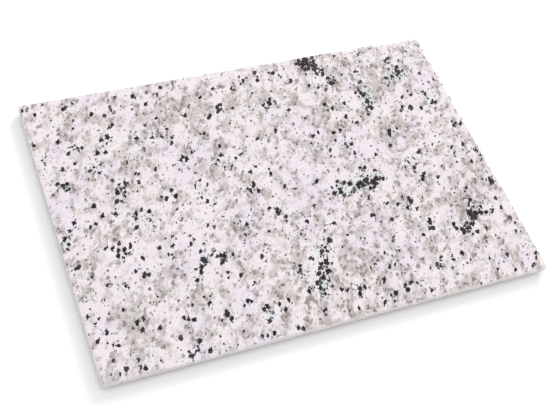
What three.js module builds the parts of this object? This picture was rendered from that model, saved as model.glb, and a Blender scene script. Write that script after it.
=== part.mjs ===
// A thin granite slab: a polished stone plate with a resin and glass-fibre mesh backing,
// standing on four rubber feet that are stuck on with adhesive discs.
//
// Millimetres, +Z up. The origin is on the surface that the feet stand on, under the middle
// of the slab. X runs along the long side and Y along the short side, away from the front.

import * as THREE from 'three';

// Driving dimensions

const SLAB_LENGTH = 360;
const SLAB_WIDTH = 250;
const SLAB_THICKNESS = 5;
const CORNER_RADIUS = 2; // seen from above
const ARRIS = 0.5; // the small bevel ground along every edge of the stone

const BACKING_INSET = 2; // the backing stops short of the stone's edge
const BACKING_THICKNESS = 0.75;

const FOOT_DIAMETER = 12;
const FOOT_HEIGHT = 2;
const FOOT_ROUNDING = 1.25; // radius between the foot's side and the face it stands on
const FOOT_EDGE_DISTANCE = 25; // from the slab's edges to the middle of a foot

const ADHESIVE_DIAMETER = 9;
const ADHESIVE_THICKNESS = 0.25;

// Fineness of the round parts

const CORNER_SEGMENTS = 6;
const ROUNDING_SEGMENTS = 5;
const TURNED_SEGMENTS = 40;

// Heights that follow from the stack: foot, adhesive, backing, stone

const ADHESIVE_BOTTOM = FOOT_HEIGHT;
const BACKING_BOTTOM = ADHESIVE_BOTTOM + ADHESIVE_THICKNESS;
const SLAB_BOTTOM = BACKING_BOTTOM + BACKING_THICKNESS;

const FOOT_X = SLAB_LENGTH / 2 - FOOT_EDGE_DISTANCE;
const FOOT_Y = SLAB_WIDTH / 2 - FOOT_EDGE_DISTANCE;
const FOOT_PLACES = {
  front_left: [-FOOT_X, -FOOT_Y],
  front_right: [FOOT_X, -FOOT_Y],
  back_left: [-FOOT_X, FOOT_Y],
  back_right: [FOOT_X, FOOT_Y],
};

// Finishes

const graniteFinish = () => new THREE.MeshStandardMaterial({ color: 0xd6ced1, roughness: 0.3, metalness: 0 });
const resinFinish = () => new THREE.MeshStandardMaterial({ color: 0xcfc8b4, roughness: 0.5, metalness: 0 });
const rubberFinish = () => new THREE.MeshStandardMaterial({ color: 0x3a3a3c, roughness: 0.85, metalness: 0 });
const adhesiveFinish = () => new THREE.MeshStandardMaterial({ color: 0xe9e6dc, roughness: 0.7, metalness: 0 });

// Shapes

function roundedRectangle(length, width, radius) {
  const x = length / 2;
  const y = width / 2;
  const quarter = Math.PI / 2;
  const outline = new THREE.Shape();
  outline.absarc(x - radius, y - radius, radius, 0, quarter, false);
  outline.absarc(radius - x, y - radius, radius, quarter, 2 * quarter, false);
  outline.absarc(radius - x, radius - y, radius, 2 * quarter, 3 * quarter, false);
  outline.absarc(x - radius, radius - y, radius, 3 * quarter, 4 * quarter, false);
  return outline;
}

// A turned piece from its outline of [radius, height] points, given from the bottom up.
function turned(outline) {
  const points = outline.map(([radius, height]) => new THREE.Vector2(radius, height));
  const geometry = new THREE.LatheGeometry(points, TURNED_SEGMENTS);
  return geometry.rotateX(Math.PI / 2);
}

function piece(name, geometry, finish, x, y, z) {
  const mesh = new THREE.Mesh(geometry, finish);
  mesh.name = name;
  mesh.position.set(x, y, z);
  return mesh;
}

// Sub-parts

function graniteSlab() {
  const outline = roundedRectangle(SLAB_LENGTH - 2 * ARRIS, SLAB_WIDTH - 2 * ARRIS, CORNER_RADIUS - ARRIS);
  const geometry = new THREE.ExtrudeGeometry(outline, {
    depth: SLAB_THICKNESS - 2 * ARRIS,
    bevelThickness: ARRIS,
    bevelSize: ARRIS,
    bevelSegments: 1,
    curveSegments: CORNER_SEGMENTS,
  });
  return piece('granite_slab', geometry, graniteFinish(), 0, 0, SLAB_BOTTOM + ARRIS);
}

function meshBacking() {
  const length = SLAB_LENGTH - 2 * BACKING_INSET;
  const width = SLAB_WIDTH - 2 * BACKING_INSET;
  const geometry = new THREE.ExtrudeGeometry(roundedRectangle(length, width, CORNER_RADIUS), {
    depth: BACKING_THICKNESS,
    bevelEnabled: false,
    curveSegments: CORNER_SEGMENTS,
  });
  return piece('mesh_backing', geometry, resinFinish(), 0, 0, BACKING_BOTTOM);
}

function adhesiveDisc(place, x, y) {
  const radius = ADHESIVE_DIAMETER / 2;
  const outline = [[0, 0], [radius, 0], [radius, ADHESIVE_THICKNESS], [0, ADHESIVE_THICKNESS]];
  return piece(`adhesive_${place}`, turned(outline), adhesiveFinish(), x, y, ADHESIVE_BOTTOM);
}

// The foot is widest at the top, and its lower edge is rounded over.
function rubberFoot(place, x, y) {
  const radius = FOOT_DIAMETER / 2;
  const outline = [[0, 0]];
  for (let step = 0; step <= ROUNDING_SEGMENTS; step += 1) {
    const angle = (step / ROUNDING_SEGMENTS) * (Math.PI / 2);
    outline.push([
      radius - FOOT_ROUNDING + FOOT_ROUNDING * Math.sin(angle),
      FOOT_ROUNDING - FOOT_ROUNDING * Math.cos(angle),
    ]);
  }
  outline.push([radius, FOOT_HEIGHT], [0, FOOT_HEIGHT]);
  return piece(`foot_${place}`, turned(outline), rubberFinish(), x, y, 0);
}

// Assembly

const slab = new THREE.Group();
slab.add(graniteSlab(), meshBacking());
for (const [place, [x, y]] of Object.entries(FOOT_PLACES)) {
  slab.add(adhesiveDisc(place, x, y), rubberFoot(place, x, y));
}

export default slab;
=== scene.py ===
# %% [markdown]
# # A thin granite slab
#
# A slab like this is a sheet of stone, sawn thin, ground flat and polished on one face. A leather
# worker punches, skives and glues on it, because it is hard, flat and easy to wipe. Stone this
# thin snaps unless glass-fibre mesh is bonded to its back with resin, and it stands on rubber
# feet, so that it neither slides nor scratches the bench.
#
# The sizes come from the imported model, which is loaded first. Blender works in metres, and every
# finished piece keeps its place in its own mesh, so all objects stay at the origin.

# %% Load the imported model
import math

import bmesh
import bpy
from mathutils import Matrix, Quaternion, Vector, kdtree, noise


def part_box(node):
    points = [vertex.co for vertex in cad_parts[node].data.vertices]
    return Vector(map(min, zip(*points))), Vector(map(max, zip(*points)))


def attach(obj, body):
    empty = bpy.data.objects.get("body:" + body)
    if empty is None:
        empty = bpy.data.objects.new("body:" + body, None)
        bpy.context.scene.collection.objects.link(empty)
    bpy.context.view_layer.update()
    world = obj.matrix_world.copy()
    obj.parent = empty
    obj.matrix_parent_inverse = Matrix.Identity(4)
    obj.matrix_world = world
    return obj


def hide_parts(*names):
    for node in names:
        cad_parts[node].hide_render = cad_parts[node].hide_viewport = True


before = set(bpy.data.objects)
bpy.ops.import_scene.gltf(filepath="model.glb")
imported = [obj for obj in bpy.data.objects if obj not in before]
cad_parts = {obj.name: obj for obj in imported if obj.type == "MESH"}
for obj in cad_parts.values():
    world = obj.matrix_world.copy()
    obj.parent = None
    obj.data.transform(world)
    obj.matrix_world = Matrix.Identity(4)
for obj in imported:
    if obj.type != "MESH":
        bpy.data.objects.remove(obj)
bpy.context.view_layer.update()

MM = 0.001
slab_low, slab_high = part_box("granite_slab")
print("slab, mm:", [round(side / MM, 2) for side in slab_high - slab_low])

# %% [markdown]
# ## The camera
#
# A camera is easiest to think about as a tripod on a sphere round the object: how far round it
# stands, how high it looks down from, how far off it is, and how much it is tilted on its own
# axis. It stands off the slab's front left corner and looks well down on it. The tilt makes the
# long edge climb gently across the picture. No shift or depth of field is needed.

# %% Camera
CAMERA_ROUND = math.radians(-34.32)
CAMERA_UP = math.radians(54.63)
CAMERA_TILT = math.radians(16.53)
CAMERA_AWAY = 0.8068
CAMERA_LENS = 66.55
CAMERA_AIM = Vector((-9.9 * MM, -20.5 * MM, slab_high.z))

scene = bpy.context.scene


def direction(round_z, up):
    """The unit vector from the object towards a place round it and above the horizon."""
    flat = math.cos(up)
    return Vector((math.sin(round_z) * flat, -math.cos(round_z) * flat, math.sin(up)))


def placed(name, data, away, aim, tilt=0.0):
    """An object that stands `away` from `aim` and looks back at it."""
    made = bpy.data.objects.new(name, data)
    made.location = aim + away
    made.rotation_mode = "QUATERNION"
    made.rotation_quaternion = (-away).to_track_quat("-Z", "Y") @ Quaternion((0, 0, 1), tilt)
    scene.collection.objects.link(made)
    return made


lens = bpy.data.cameras.new("camera")
lens.lens = CAMERA_LENS
tripod = direction(CAMERA_ROUND, CAMERA_UP) * CAMERA_AWAY
scene.camera = placed("camera", lens, tripod, CAMERA_AIM, CAMERA_TILT)
print("camera at, mm:", [round(c / MM) for c in scene.camera.location])

# %% [markdown]
# ## Floor and light
#
# The slab lies on a white sweep in a bright tent. Almost all of the light comes evenly from all
# round, which is a World background. A wide soft lamp stands low behind the far right corner, so
# the slab throws a short soft shadow to the front and the left and none behind it, and a second
# one overhead lifts the polished face. The Standard view keeps white paper white.

# %% Floor and light
FLOOR_HALF = 3.0
FLOOR_WHITE = 0.9
FLOOR_ROUGHNESS = 0.9
TENT_LIGHT = 0.9
LAMP_AWAY = 4.0
# name: degrees round, degrees up, width in degrees as the slab sees it, watts to a square metre
LAMPS = {
    "low_back_lamp": (134, 27, 24, 31.8),
    "top_lamp": (0, 90, 40, 2.03),
}

scene.view_settings.view_transform = "Standard"


def plain_material(name, colour, roughness):
    """A material with one colour, for what is not part of the object."""
    material = bpy.data.materials.new(name)
    material.use_nodes = True
    surface = material.node_tree.nodes["Principled BSDF"]
    surface.inputs["Base Color"].default_value = colour
    surface.inputs["Roughness"].default_value = roughness
    surface.inputs["Specular IOR Level"].default_value = 0.0
    return material


def finished_mesh(name, shape, materials, sharp_from=30):
    """Turns a bmesh into an object at the origin, shaded smooth but for edges sharper than that."""
    mesh = bpy.data.meshes.new(name)
    shape.to_mesh(mesh)
    shape.free()
    mesh.shade_smooth()
    mesh.set_sharp_from_angle(angle=math.radians(sharp_from))
    for material in materials:
        mesh.materials.append(material)
    made = bpy.data.objects.new(name, mesh)
    scene.collection.objects.link(made)
    return made


floor_shape = bmesh.new()
bmesh.ops.create_grid(floor_shape, x_segments=1, y_segments=1, size=FLOOR_HALF)
floor_white = plain_material("floor_white", (FLOOR_WHITE,) * 3 + (1,), FLOOR_ROUGHNESS)
finished_mesh("floor", floor_shape, [floor_white])

scene.world = bpy.data.worlds.new("tent")
scene.world.use_nodes = True
tent = scene.world.node_tree.nodes["Background"]
tent.inputs["Color"].default_value = (1, 1, 1, 1)
tent.inputs["Strength"].default_value = TENT_LIGHT

for name, (round_z, up, width, glow) in LAMPS.items():
    lamp = bpy.data.lights.new(name, "AREA")
    lamp.size = 2 * LAMP_AWAY * math.tan(math.radians(width / 2))
    lamp.energy = glow * lamp.size ** 2
    away = direction(math.radians(round_z), math.radians(up)) * LAMP_AWAY
    placed(name, lamp, away, Vector((0, 0, 0))).visible_camera = False
    print(name, "is", round(lamp.size, 2), "m wide")

# %% [markdown]
# ## Shader sums as Python
#
# A procedural stone is mostly arithmetic on noise. Written as nodes it takes a screen of boxes,
# so one small class wraps a socket and lets Python's own signs add the Math nodes. Its `node`
# method adds any other node: settings first, then a value or a link for each socket.


# %% Wire
class Wire:
    """An output of a shader node. Sums on wires add Math nodes to the same material."""

    def __init__(self, tree, socket=None):
        self.tree = tree
        self.socket = socket

    def node(self, kind, settings=None, sockets=None, output=0):
        """Adds one node of any kind and returns the output that is asked for."""
        made = self.tree.nodes.new(kind)
        for name, value in (settings or {}).items():
            setattr(made, name, value)
        for name, value in (sockets or {}).items():
            if isinstance(value, Wire):
                self.tree.links.new(value.socket, made.inputs[name])
            else:
                made.inputs[name].default_value = value
        return Wire(self.tree, made.outputs[output]) if made.outputs else None

    def other(self, output):
        """Another output of the node that this wire comes from."""
        return Wire(self.tree, self.socket.node.outputs[output])

    def sum(self, operation, first, second):
        return self.node("ShaderNodeMath", {"operation": operation}, {0: first, 1: second})

    def __add__(self, other):
        return self.sum("ADD", self, other)

    __radd__ = __add__

    def __sub__(self, other):
        return self.sum("SUBTRACT", self, other)

    def __rsub__(self, other):
        return self.sum("SUBTRACT", other, self)

    def __mul__(self, other):
        return self.sum("MULTIPLY", self, other)

    __rmul__ = __mul__


def new_material(name):
    """An empty material, and the wire that its nodes start from."""
    material = bpy.data.materials.new(name)
    material.use_nodes = True
    material.node_tree.nodes.clear()
    return material, Wire(material.node_tree)


def finish_material(start, surface_sockets, bump=None):
    """Joins a Principled surface to the output. bump is its height wire and its depth in metres."""
    if bump:
        height, depth = bump
        bump_sockets = {"Height": height, "Distance": depth}
        surface_sockets["Normal"] = start.node("ShaderNodeBump", None, bump_sockets)
    surface = start.node("ShaderNodeBsdfPrincipled", None, surface_sockets)
    start.node("ShaderNodeOutputMaterial", None, {"Surface": surface})


# %% [markdown]
# Everything that follows is built from two textures, clouds of noise and a pack of crystals,
# and from a soft step and a mix of two colours that turn them into minerals. Sizes are in
# millimetres. Colours are written as they are read off a colour card, from 0 to 255, and turned
# into the linear light that shaders add up.


# %% Texture helpers
def tint(red, green, blue):
    """A colour card's values as linear light."""
    shares = [value / 255 for value in (red, green, blue)]
    return (*[s / 12.92 if s <= 0.04045 else ((s + 0.055) / 1.055) ** 2.4 for s in shares], 1)


def millimetres(start):
    """The point that is being shaded, in millimetres in the object's own frame."""
    metres = start.node("ShaderNodeTexCoord", output="Object")
    return start.node("ShaderNodeVectorMath", {"operation": "SCALE"}, {0: metres, "Scale": 1 / MM})


def moved(at, by):
    """The same place shifted by a fixed step, so that a second texture differs from the first."""
    return at.node("ShaderNodeVectorMath", {"operation": "ADD"}, {0: at, 1: by})


def clouds(at, size, detail=2.0, output="Fac"):
    return at.node("ShaderNodeTexNoise", None, {"Vector": at, "Scale": 1 / size, "Detail": detail}, output)


def crystals(at, size):
    return at.node("ShaderNodeTexVoronoi", None, {"Vector": at, "Scale": 1 / size}, "Distance")


def channel(colour, name):
    return colour.node("ShaderNodeSeparateColor", None, {"Color": colour}, name)


def step(value, low, high):
    """0 below low and 1 above high, with a soft step between them."""
    sockets = {"Value": value, "From Min": low, "From Max": high}
    return value.node("ShaderNodeMapRange", {"interpolation_type": "SMOOTHSTEP"}, sockets)


def mixed(share, first, second):
    """Two colours mixed. The share of the second is a wire or a number, and each may be a tint."""
    maker = next(part for part in (share, first, second) if isinstance(part, Wire))
    return maker.node("ShaderNodeMix", {"data_type": "RGBA"}, {0: share, 6: first, 7: second}, 2)


# %% [markdown]
# ## Granite
#
# Granite is a pack of crystals that grew into each other: pinkish white feldspar makes the
# ground, smoky quartz fills cloudy patches, and black mica and hornblende sit in it one by one or
# gather in nests. An image could be wrapped over the plate, but it would stop at the edges, and
# it couldn't be made larger. A solid texture goes right through the stone.
#
# Each mineral is a mask over the one before. Its crystals are the cells of a Voronoi texture,
# and every cell has a random colour of its own, whose three channels serve as its luck: a cell
# turns dark where its luck is under the local chance of a dark crystal. Noise pushes the sampling
# point about first, because real grains have ragged sides. The whole texture is also drawn out a
# little one way, because the stone still flowed slightly while its crystals grew.

# %% Granite colours
FELDSPAR = tint(226, 218, 221)
FELDSPAR_LILAC = tint(221, 212, 223)
FELDSPAR_COOL = tint(214, 217, 219)
FELDSPAR_CREAM = tint(211, 201, 193)
FELDSPAR_BUFF = tint(197, 187, 186)
QUARTZ = tint(176, 167, 163)
QUARTZ_DEEP = tint(134, 123, 119)
GREY_MICA = tint(94, 84, 89)
HORNBLENDE = tint(27, 11, 21)
MICA = tint(57, 43, 50)
BLUE_MICA = tint(32, 37, 43)
GROUND_STONE = tint(221, 218, 219)

# %% Grain
FLOW = math.radians(60)  # the way the grains lie, from the long side
FLOW_STRETCH = (1.2, 0.86, 1.0)  # along the flow, across it and through the plate


def drawn_out(at):
    """The same place in a frame that makes every grain longer along the flow of the stone."""
    sockets = {"Vector": at, "Rotation": (0, 0, FLOW), "Scale": FLOW_STRETCH}
    return at.node("ShaderNodeMapping", {"vector_type": "TEXTURE"}, sockets)


def pushed(at, size, reach):
    """The same place pushed about by up to half of reach, by noise of that size."""
    shake = clouds(at, size, 3.0, "Color")
    centred = at.node("ShaderNodeVectorMath", {"operation": "SUBTRACT"}, {0: shake, 1: (0.5, 0.5, 0.5)})
    push = at.node("ShaderNodeVectorMath", {"operation": "SCALE"}, {0: centred, "Scale": 2 * reach})
    return at.node("ShaderNodeVectorMath", {"operation": "ADD"}, {0: at, 1: push})


def painted(start, name):
    """The value that the mesh holds under that name, here between its vertices."""
    return start.node("ShaderNodeAttribute", {"attribute_name": name}, output="Fac")


def luck(crystal, name):
    """One of the three random numbers that each crystal has."""
    return channel(crystal.other("Color"), name)


def patchy(crystal, by, size, detail=3.0):
    """Clouds that are the same all over each crystal, shifted so that each use has its own."""
    return clouds(moved(crystal.other("Position"), by), size, detail)


def where(chance, number):
    """1 in the crystals whose random number is under the chance, and 0 in the others."""
    return step(chance - number, 0.0, 0.01)


# %% [markdown]
# Feldspar crystals are the largest, about 7 mm across. Whole regions of the stone lean to lilac,
# single crystals lean to cream, and fine cleavage clouds them all with buff.


# %% Feldspar
def feldspar(at, cleavage):
    crystal = crystals(pushed(at, 4.0, 3.0), 7.0)
    lilac = step(clouds(moved(at, (40, 7, 3)), 30.0, 3.0), 0.45, 0.65)
    cream = step(luck(crystal, "Red"), 0.4, 1.0)
    colour = mixed(lilac, FELDSPAR, FELDSPAR_LILAC)
    colour = mixed(cream * 0.12, colour, FELDSPAR_CREAM)
    return mixed(step(cleavage, 0.48, 0.72) * 0.7, colour, FELDSPAR_BUFF)


# %% [markdown]
# Quartz fills what room the feldspar leaves, so it comes in patches of small crystals. How smoky
# a crystal is depends on clouds at its own middle, which gives it one tone, and partly on clouds
# at the very point, which softens its sides. Broad clouds gather the patches, and so does the
# paint on the mesh.


# %% Smoky quartz
def smokiness(at, crystal, smoke):
    own = patchy(crystal, (5, 60, 11), 10.0)
    haze = clouds(moved(at, (5, 60, 11)), 10.0, 4.0)
    broad = clouds(moved(at, (31, 2, 90)), 28.0, 2.0)
    smokes = 0.55 * own + 0.45 * haze + 0.4 * broad + 0.14 * smoke
    return step(smokes + 0.18 * luck(crystal, "Red"), 0.725, 0.945)


def with_quartz(colour, crystal, smoky, cleavage):
    quartz = smoky * (0.5 + 0.5 * luck(crystal, "Green"))
    deep = smoky * step(luck(crystal, "Blue") + 0.8 * cleavage, 1.05, 1.3)
    return mixed(deep * 0.85, mixed(quartz, colour, QUARTZ), QUARTZ_DEEP)


# %% [markdown]
# The dark minerals come in three sizes: soft grey flakes of every depth, black grains of 2 to
# 4 mm, and a fine black dust round them. All three gather in clumps of the texture's own, and
# where the mesh is painted as a nest. A grain's reach stops short of its cell, which leaves pale
# gaps between neighbours. The blacks aren't one colour: some lean to plum and some, a hand's
# breadth away, to blue.


# %% Dark minerals
def with_grey_mica(colour, ragged, nest, clumps, smoky):
    flake = crystals(moved(ragged, (3, 8, 1)), 2.2)
    chance = 0.15 + 0.4 * nest + 0.3 * clumps + 0.12 * smoky
    reach = 0.36 + 0.34 * luck(flake, "Red")
    grey = where(chance, luck(flake, "Green")) * step(reach - flake, 0.0, 0.2)
    return mixed(grey * (0.25 + 0.7 * luck(flake, "Blue")), colour, GREY_MICA)


def with_dust(colour, ragged, nest, clumps, mica):
    speck = crystals(moved(ragged, (6, 1, 9)), 1.3)
    dust = where(0.015 + 0.15 * nest + 0.05 * clumps, luck(speck, "Red"))
    return mixed(dust * 0.8, colour, mica)


def black_grains(grain, nest, clumps):
    broken = step(patchy(grain, (8, 31, 2), 5.0, 2.0), 0.35, 0.55)
    chance = 0.06 + nest * (0.65 + 0.4 * broken) + 0.85 * clumps * clumps
    reach = 0.47 + 0.25 * luck(grain, "Blue") + 0.1 * nest
    return where(chance, luck(grain, "Red")) * step(reach - grain, 0.0, 0.12)


# %% [markdown]
# Now the minerals are laid over each other. The plate shows two finishes of the same stone. The
# face is polished, so it is nearly a mirror, and the soft dark minerals are polished a hair
# lower and duller. The sides and the arris are only ground, and a ground surface scatters
# light, which makes the stone paler and flatter there.


# %% The two finishes of the granite
def granite(name, polished):
    material, start = new_material(name)
    at = drawn_out(millimetres(start))
    ragged = pushed(at, 1.4, 0.95)
    cleavage = clouds(ragged, 1.3, 4.0)
    nest = painted(start, "nests")
    grain = crystals(moved(pushed(at, 2.2, 2.0), (13, 1, 5)), 3.4)
    clumps = step(patchy(grain, (71, 5, 17), 14.0), 0.54, 0.68)
    quartz_crystal = crystals(ragged, 2.8)
    smoky = smokiness(at, quartz_crystal, painted(start, "smoke"))

    colour = with_quartz(feldspar(at, cleavage), quartz_crystal, smoky, cleavage)
    cool = step(nest + clumps * 0.5, 0.05, 0.5)
    colour = mixed(cool * 0.7, colour, FELDSPAR_COOL)
    colour = with_grey_mica(colour, ragged, nest, clumps, smoky)
    bluish = step(clouds(moved(at, (9, 44, 2)), 22.0), 0.48, 0.56)
    mica = mixed(bluish, MICA, BLUE_MICA)
    colour = with_dust(colour, ragged, nest, clumps, mica)
    black = black_grains(grain, nest, clumps)
    colour = mixed(black, colour, mixed(step(luck(grain, "Green"), 0.4, 0.9), HORNBLENDE, mica))

    if polished:
        roughness = 0.08 + 0.03 * black + 0.05 * clouds(at, 40.0, 3.0)
        bump = ((1 - black) + 0.3 * cleavage, 0.002 * MM)
        specular = 0.35
    else:
        colour = mixed(0.7, colour, GROUND_STONE)
        roughness = 0.75 + 0.1 * cleavage
        bump = (clouds(ragged, 0.5, 3.0), 0.04 * MM)
        specular = 0.2
    surface = {"Base Color": colour, "Roughness": roughness, "Specular IOR Level": specular}
    finish_material(start, surface, bump)
    return material


polished_granite = granite("polished_granite", True)
ground_granite = granite("ground_granite", False)
print("granite nodes:", len(polished_granite.node_tree.nodes))

# %% [markdown]
# ## Where the minerals gather
#
# Most nests and smoky patches come from the texture's own noise. A noise can't put one in a
# chosen place, so the few that catch the eye first are a short map, listed to the nearest
# 5 mm. An image mask would need a file, and empties would clutter the scene. The map is painted
# onto the plate's vertices instead, as two attributes that fade out from each vein, so the
# plate's net of vertices must be fine enough to hold them.

# %% The map of gatherings
# By how far each gathering reaches, in millimetres from the middle of the face. A gathering with
# one place is round, and one with more is a vein through them.
NESTS = {
    10.0: [[(65, 120), (75, 105)], [(145, 90)]],
    8.0: [
        [(80, 95)], [(105, 75), (105, 60)], [(45, -15), (80, -10)], [(10, -65), (-5, -100)],
        [(150, -60), (130, -75)], [(-50, -105)], [(95, -100)], [(-65, -50)], [(-125, 25)],
        [(-165, 40)],
    ],
}
SMOKE = {
    25.0: [
        [(110, 75), (140, 85)], [(110, 30)], [(50, -20)], [(-80, 90), (-45, 95)], [(30, -80)],
        [(-150, -80)], [(140, -55)],
    ],
}
print("nests:", sum(map(len, NESTS.values())), "smoky patches:", sum(map(len, SMOKE.values())))

# %% Painting the map onto a mesh
VEIN_STEP = 1.0 * MM


def along(places):
    """Points a small step apart on the line through the places, in metres."""
    places = [Vector((x * MM, y * MM, 0)) for x, y in places]
    line = [places[-1]]
    for first, second in zip(places, places[1:]):
        steps = math.ceil((second - first).length / VEIN_STEP)
        line += [first.lerp(second, number / steps) for number in range(steps)]
    return line


def paint_gatherings(mesh, name, gatherings):
    """Keeps how thick a gathering is at each vertex, from 0 at its rim to 1 on its line."""
    near = kdtree.KDTree(len(mesh.vertices))
    for vertex in mesh.vertices:
        near.insert((vertex.co.x, vertex.co.y, 0), vertex.index)
    near.balance()
    thickness = [0.0] * len(mesh.vertices)
    for reach, veins in gatherings.items():
        for point in [point for vein in veins for point in along(vein)]:
            for _, index, distance in near.find_range(point, reach * MM):
                fading = (1 - (distance / (reach * MM)) ** 2) ** 2
                thickness[index] = max(thickness[index], fading)
    mesh.attributes.new(name, "FLOAT", "POINT").data.foreach_set("value", thickness)


# %% [markdown]
# ## The stone plate
#
# The plate starts as a cube scaled to the stone's own box. One bevel rounds the four upright
# corners, and a second grinds the arris, the narrow bevel that keeps a stone edge from chipping.
# Cuts across the whole plate then give it a net of vertices, which holds the map above.
#
# The edge gets what a saw and a hand stone leave on it. The saw leaves the sides faintly uneven.
# The arris loses small chips wherever a smooth noise passes a limit, so they lie here and there
# and not everywhere. A modifier could roughen the whole mesh, but the faces that the slab works
# with have to stay flat.

# %% Cuts and wear
CORNER_RADIUS = 2.0 * MM
CORNER_STEPS = 6
ARRIS = 0.5 * MM
ARRIS_STEPS = 3
SAW_MARKS = 0.05 * MM
SAW_MARK_SIZE = 3.0 * MM
CHIP_DEPTH = 0.5 * MM
CHIP_SIZE = 2.2 * MM
CHIP_LIMIT = 0.42
SLIGHT = 0.01 * MM  # less than this is no distance at all


def on_level(edge, height):
    return all(abs(v.co.z - height) < SLIGHT for v in edge.verts)


def rise(edge):
    """How far apart in height the two ends of an edge are."""
    return abs(edge.verts[0].co.z - edge.verts[1].co.z)


def net_of_cuts(shape, axis, places):
    """Cuts right across a shape, square to one axis, so that it gets vertices there."""
    normal = Vector((0, 0, 0))
    normal[axis] = 1
    for place in places:
        every = shape.verts[:] + shape.edges[:] + shape.faces[:]
        bmesh.ops.bisect_plane(shape, geom=every, plane_co=normal * place, plane_no=normal, dist=SLIGHT)


def on_the_flat(place):
    """True on the top and the underside, inside the arris, where wear must not reach."""
    inside = all(abs(place[axis]) < slab_high[axis] - ARRIS - SLIGHT for axis in (0, 1))
    return inside and not slab_low.z + SLIGHT < place.z < slab_high.z - SLIGHT


def wear_edge(shape):
    """Leaves saw marks on the sides and chips on the arris. The flat faces stay flat."""
    shape.normal_update()
    moves = []
    for v in shape.verts:
        if on_the_flat(v.co):
            continue
        depth = SAW_MARKS * (0.5 + 0.5 * noise.noise(v.co / SAW_MARK_SIZE))
        if min(v.co.z - slab_low.z, slab_high.z - v.co.z) < ARRIS + SLIGHT:
            depth += CHIP_DEPTH * max(0.0, noise.noise(v.co / CHIP_SIZE) - CHIP_LIMIT)
        moves.append((v, v.normal * depth))
    for v, move in moves:
        v.co -= move
    print("worn vertices:", len(moves), "deepest, mm:", round(max(m.length for _, m in moves) / MM, 2))


# %% The plate's shape
NET_PITCH = 2.5 * MM
EDGE_CUTS = 3  # further cuts between two lines of the net, along the rims
SIDE_CUTS = 4  # rows up the sides
FLAT_ENOUGH = 0.97  # how far up a face must point to be polished
NEARLY_LEVEL = 0.99  # how far up or down a face must point to lie inside the rims


def sawn_blank():
    """The stone's box with rounded corners and an arris."""
    shape = bmesh.new()
    bmesh.ops.create_cube(shape, size=1.0)
    bmesh.ops.scale(shape, vec=slab_high - slab_low, verts=shape.verts)
    bmesh.ops.translate(shape, vec=(slab_high + slab_low) / 2, verts=shape.verts)
    upright = [e for e in shape.edges if rise(e) > MM]
    bmesh.ops.bevel(shape, geom=upright, offset=CORNER_RADIUS, segments=CORNER_STEPS, profile=0.5,
                    affect="EDGES", material=-1)
    rims = [e for e in shape.edges if on_level(e, slab_low.z) or on_level(e, slab_high.z)]
    bmesh.ops.bevel(shape, geom=rims, offset=ARRIS, segments=ARRIS_STEPS, profile=0.5,
                    affect="EDGES", material=-1)
    return shape


def add_net(shape):
    """Cuts the whole plate into a net, which is finer along the rims and up the sides."""
    for axis in (0, 1):
        cuts = round((slab_high[axis] - slab_low[axis]) / NET_PITCH)
        net_of_cuts(shape, axis, [slab_low[axis] + cut * NET_PITCH for cut in range(1, cuts)])
    shape.normal_update()
    level = [e for e in shape.edges if rise(e) < SLIGHT and e.calc_length() > NET_PITCH / 2]
    rims = [e for e in level if any(abs(f.normal.z) < NEARLY_LEVEL for f in e.link_faces)]
    bmesh.ops.subdivide_edges(shape, edges=rims, cuts=EDGE_CUTS, use_grid_fill=True)
    tall = [e for e in shape.edges if rise(e) > 2 * ARRIS]
    bmesh.ops.subdivide_edges(shape, edges=tall, cuts=SIDE_CUTS, use_grid_fill=True)


# %% The stone plate
def stone_plate():
    shape = sawn_blank()
    add_net(shape)
    wear_edge(shape)
    shape.normal_update()
    for face in shape.faces:
        face.material_index = 0 if face.normal.z > FLAT_ENOUGH else 1
    made = finished_mesh("stone_plate", shape, [polished_granite, ground_granite])
    paint_gatherings(made.data, "nests", NESTS)
    paint_gatherings(made.data, "smoke", SMOKE)
    return made


def stands_for(piece, node):
    """The piece moves with the slab and is seen in place of a CAD node."""
    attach(piece, "root")
    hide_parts(node)
    print(piece.name, "faces:", len(piece.data.polygons))


stands_for(stone_plate(), "granite_slab")

# %% [markdown]
# ## The mesh on the back
#
# The back is a skin of epoxy resin with a net of glass-fibre rovings laid in it. Each roving
# stands a little proud under the resin. A displacement map could draw the net, but only the
# picture of it would leave with the exported shape. So the net is real: one flat sheet is cut
# along three lines for every roving, and the vertices on the middle line are left lowest. A
# slow noise then pulls the whole net a little out of true, because it is laid by hand. The
# sheet's rim is pulled up to the stone, and resin never stops in a clean line, so the lower rim
# wanders.

# %% Resin and glass fibre
RESIN = tint(206, 199, 176)
RESIN_THIN = tint(182, 176, 160)
GLASS_FIBRE = tint(232, 230, 220)


def strands(at, across):
    """Fine streaks, drawn long on one axis and squeezed on the other."""
    squeeze = (0.15, 3.0, 1.0) if across == "y" else (3.0, 0.15, 1.0)
    return clouds(at.node("ShaderNodeVectorMath", {"operation": "MULTIPLY"}, {0: at, 1: squeeze}), 0.6)


def resin_mesh_material():
    """White glass shows where the rovings run. The resin between them is yellower, or greyer."""
    material, start = new_material("resin_mesh")
    at = millimetres(start)
    thin = step(clouds(at, 18.0, 4.0), 0.42, 0.66)
    colour = mixed(thin, RESIN, RESIN_THIN)
    streaks = start.sum("MAXIMUM", strands(at, "y"), strands(at, "x"))
    glass = step(painted(start, "roving") + 0.5 * streaks, 0.55, 1.1)
    colour = mixed(glass * 0.85, colour, GLASS_FIBRE)
    bubbles = step(0.16 - crystals(at, 3.5), 0.0, 0.04)
    colour = mixed(bubbles * 0.5, colour, RESIN_THIN)
    roughness = 0.42 + 0.25 * glass + 0.1 * thin
    bump = (streaks * glass + 0.6 * clouds(at, 2.5, 3.0) - bubbles, 0.03 * MM)
    finish_material(start, {"Base Color": colour, "Roughness": roughness}, bump)
    return material


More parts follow.
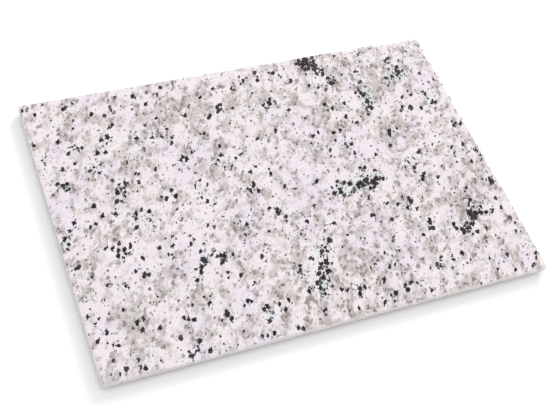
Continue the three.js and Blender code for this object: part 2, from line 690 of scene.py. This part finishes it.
# %% The net of rovings
ROVING_PITCH = 5.0 * MM
ROVING_HALF = 0.5 * MM
ROVING_HEIGHT = 0.1 * MM
NET_WANDER = 0.4 * MM
NET_WANDER_SIZE = 70.0 * MM
RESIN_RAGGED = 0.9 * MM
RESIN_RAGGED_SIZE = 6.0 * MM


def roving_lines(length):
    """The middle lines of the rovings that cross a side of that length."""
    count = round(length / ROVING_PITCH)
    return [(number - (count - 1) / 2) * ROVING_PITCH for number in range(count)]


def cut_sheet(low, high, middles):
    """A flat sheet with round corners, cut along the middle and both sides of each roving."""
    shape = bmesh.new()
    bmesh.ops.create_grid(shape, x_segments=1, y_segments=1, size=0.5)
    bmesh.ops.scale(shape, vec=(high.x - low.x, high.y - low.y, 1), verts=shape.verts)
    bmesh.ops.translate(shape, vec=(0, 0, low.z + ROVING_HEIGHT), verts=shape.verts)
    bmesh.ops.bevel(shape, geom=shape.verts[:], offset=CORNER_RADIUS, segments=CORNER_STEPS,
                    profile=0.5, affect="VERTICES", material=-1)
    for axis in (0, 1):
        for side in (-ROVING_HALF, 0, ROVING_HALF):
            lines = [middle + side for middle in middles[axis]]
            net_of_cuts(shape, axis, [line for line in lines if abs(line) < high[axis] - MM])
    return shape


def lay_rovings(shape, low, high, middles):
    """Lowers and marks the rovings, pulls the net out of true and frays the rim."""
    roving = shape.verts.layers.float.new("roving")
    for v in shape.verts:
        if any(abs(v.co[axis] - middle) < SLIGHT for axis in (0, 1) for middle in middles[axis]):
            v[roving] = 1.0
            v.co.z = low.z
        ragged = RESIN_RAGGED * (0.5 + 0.5 * noise.noise(v.co / RESIN_RAGGED_SIZE))
        for axis in (0, 1):
            if v.is_boundary and abs(v.co[axis]) > high[axis] - SLIGHT:
                v.co[axis] -= math.copysign(ragged, v.co[axis])
            elif not v.is_boundary:
                v.co[axis] += NET_WANDER * noise.noise(v.co / NET_WANDER_SIZE + Vector((0, 0, axis)))


# %% The resin skin
def close_up(shape, high):
    """Pulls the rim up to the stone, where it is straight, and closes the top."""
    rim = [e for e in shape.edges if e.is_boundary]
    made = bmesh.ops.extrude_edge_only(shape, edges=rim)["geom"]
    for v in [v for v in made if isinstance(v, bmesh.types.BMVert)]:
        v.co.z = high.z
        for axis, other in ((0, 1), (1, 0)):
            at_side = abs(v.co[axis]) > high[axis] - CORNER_RADIUS
            if at_side and abs(v.co[other]) < high[other] - CORNER_RADIUS:
                v.co[axis] = math.copysign(high[axis], v.co[axis])
    bmesh.ops.contextual_create(shape, geom=[e for e in shape.edges if e.is_boundary])
    bmesh.ops.recalc_face_normals(shape, faces=shape.faces)


def mesh_back():
    low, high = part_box("mesh_backing")
    middles = [roving_lines(high[axis] - low[axis]) for axis in (0, 1)]
    print("rovings:", [len(lines) for lines in middles])
    shape = cut_sheet(low, high, middles)
    lay_rovings(shape, low, high, middles)
    close_up(shape, high)
    return finished_mesh("resin_mesh_back", shape, [resin_mesh_material()], sharp_from=35)


stands_for(mesh_back(), "mesh_backing")

# %% [markdown]
# ## Turned pieces
#
# The feet and their adhesive discs are round, so each is half an outline spun once round its own
# axis. The spin leaves a seam and two poles. Merging doubles closes them, and the normals are
# worked out after that.


# %% Turned pieces
def arc(radius, height, size, first, last, steps):
    """Points on a quarter or half round, as (radius, height). Angles are in degrees."""
    angles = [math.radians(first + (last - first) * number / steps) for number in range(steps + 1)]
    return [(radius + size * math.cos(angle), height + size * math.sin(angle)) for angle in angles]


def turned(name, outline, material, middle, steps=64):
    """Spins an outline of (radius, height) about the upright line through the middle."""
    shape = bmesh.new()
    points = [shape.verts.new((radius, 0, height)) for radius, height in outline]
    edges = [shape.edges.new(pair) for pair in zip(points, points[1:])]
    bmesh.ops.spin(shape, geom=points + edges, cent=(0, 0, 0), axis=(0, 0, 1), angle=math.tau,
                   steps=steps, use_merge=True)
    bmesh.ops.remove_doubles(shape, verts=shape.verts, dist=MM / 1000)
    bmesh.ops.recalc_face_normals(shape, faces=shape.faces)
    bmesh.ops.translate(shape, vec=(middle.x, middle.y, 0), verts=shape.verts)
    return finished_mesh(name, shape, [material], sharp_from=35)


# %% [markdown]
# ## Rubber feet and adhesive discs
#
# A stick-on foot is a moulded rubber button. It has a shallow dimple underneath, so that it grips
# with a ring, a rounded lower edge, and a thin line of flash where the mould closed. The disc over
# it is soft foam tape, whose cut rim bulges a little under the weight. Rubber is matt and faintly
# grainy, with pale dust on it. Foam is full of fine pores.

# %% Rubber feet and adhesive discs
FOOT_ROUNDING = 1.25 * MM
DIMPLE_RADIUS = 2.4 * MM
DIMPLE_SLOPE = 0.6 * MM
DIMPLE_DEPTH = 0.2 * MM
FLASH_HEIGHT = 0.3 * MM  # under the top of the foot
FLASH_GROOVE = 0.08 * MM

RUBBER = tint(56, 56, 58)
RUBBER_DUST = tint(118, 116, 112)
FOAM = tint(234, 231, 221)
# the colour inside the foam's pores, which is painted shade
FOAM_PORE_SHADE = tint(196, 192, 180)


def rubber_material():
    material, start = new_material("foot_rubber")
    at = millimetres(start)
    grain = clouds(at, 0.35, 4.0)
    dust = step(clouds(at, 2.8, 4.0), 0.5, 0.75) * step(grain, 0.4, 0.6)
    colour = mixed(dust * 0.4, RUBBER, RUBBER_DUST)
    roughness = 0.68 + 0.15 * grain + 0.12 * dust
    finish_material(start, {"Base Color": colour, "Roughness": roughness}, (grain, 0.03 * MM))
    return material


def foam_material():
    material, start = new_material("adhesive_foam")
    at = millimetres(start)
    pores = step(0.42 - crystals(at, 0.22), 0.0, 0.2)
    # The pores are painted darker: painted shade in the foam's small hollows.
    colour = mixed(pores * 0.7, FOAM, FOAM_PORE_SHADE)
    roughness = 0.78 + 0.1 * clouds(at, 1.5)
    finish_material(start, {"Base Color": colour, "Roughness": roughness}, (1 - pores, 0.04 * MM))
    return material


foot_rubber = rubber_material()
adhesive_foam = foam_material()

for place in ("front_left", "front_right", "back_left", "back_right"):
    low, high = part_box("foot_" + place)
    middle = (low + high) / 2
    radius = (high.x - low.x) / 2
    inner = radius - FOOT_ROUNDING
    flash = high.z - FLASH_HEIGHT
    dimple = low.z + DIMPLE_DEPTH
    outline = [(0, dimple), (DIMPLE_RADIUS, dimple)]
    outline += [(DIMPLE_RADIUS + DIMPLE_SLOPE / 2, low.z + DIMPLE_DEPTH / 3)]
    outline += [(DIMPLE_RADIUS + DIMPLE_SLOPE, low.z)]
    outline += arc(inner, low.z + FOOT_ROUNDING, FOOT_ROUNDING, -90, 0, 8)
    outline += [(radius, flash - FLASH_GROOVE), (radius - FLASH_GROOVE, flash)]
    outline += [(radius, flash + FLASH_GROOVE)]
    outline += arc(radius - FLASH_GROOVE, high.z - FLASH_GROOVE, FLASH_GROOVE, 0, 90, 3)
    outline += [(0, high.z)]
    foot = turned("rubber_foot_" + place, outline, foot_rubber, middle)
    stands_for(foot, "foot_" + place)

    low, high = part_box("adhesive_" + place)
    radius = (high.x - low.x) / 2
    bulge = (high.z - low.z) / 2
    outline = [(0, low.z), *arc(radius - bulge, low.z + bulge, bulge, -90, 90, 6), (0, high.z)]
    disc = turned("foam_disc_" + place, outline, adhesive_foam, middle)
    stands_for(disc, "adhesive_" + place)
